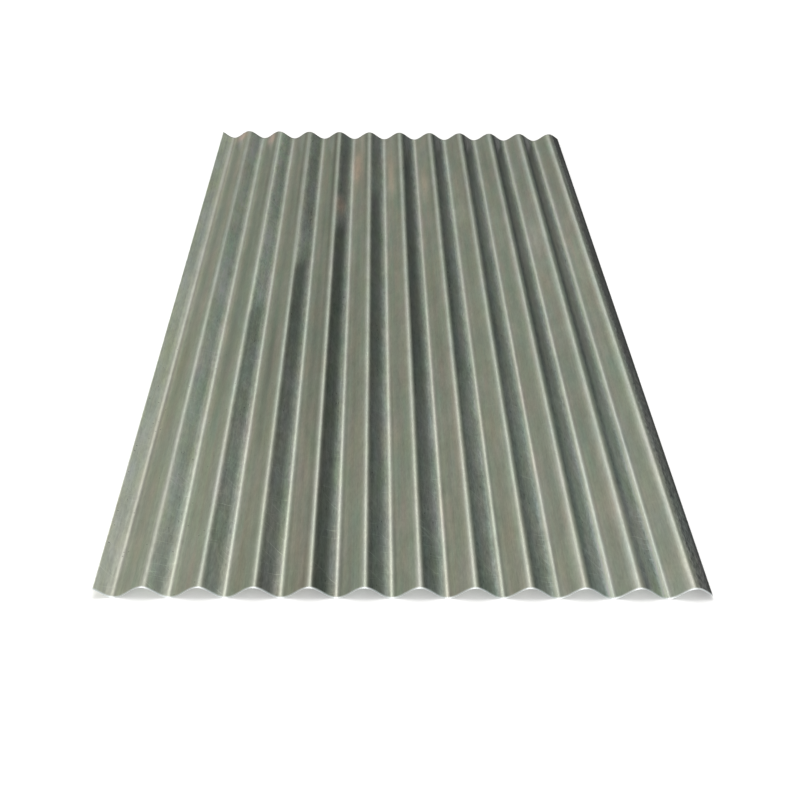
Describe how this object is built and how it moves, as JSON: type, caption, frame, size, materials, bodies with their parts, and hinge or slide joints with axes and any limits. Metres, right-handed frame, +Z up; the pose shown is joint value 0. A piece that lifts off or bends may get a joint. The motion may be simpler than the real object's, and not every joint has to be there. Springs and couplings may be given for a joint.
{
  "type": "corrugated metal sheet",
  "caption": "Galvanised steel sheet rolled in even round waves along its length, for roofs, walls and fences; one side edge turns up and the other turns down, to lap the next sheet",
  "frame": {"origin": "middle of the sheet, on the level surface that its valleys rest on", "axes": "+X across the corrugations, towards the edge that turns down; +Y along the corrugations; +Z up, from the surface that the sheet lies on"},
  "size_m": [0.8502, 1.8, 0.0185],
  "materials": {
    "galvanised_steel": "zinc-coated steel as rolled, dull grey-green with fine lengthwise drawing marks"
  },
  "bodies": {
    "root": {"corrugated_sheet": "galvanised_steel"}
  },
  "joints": []
}
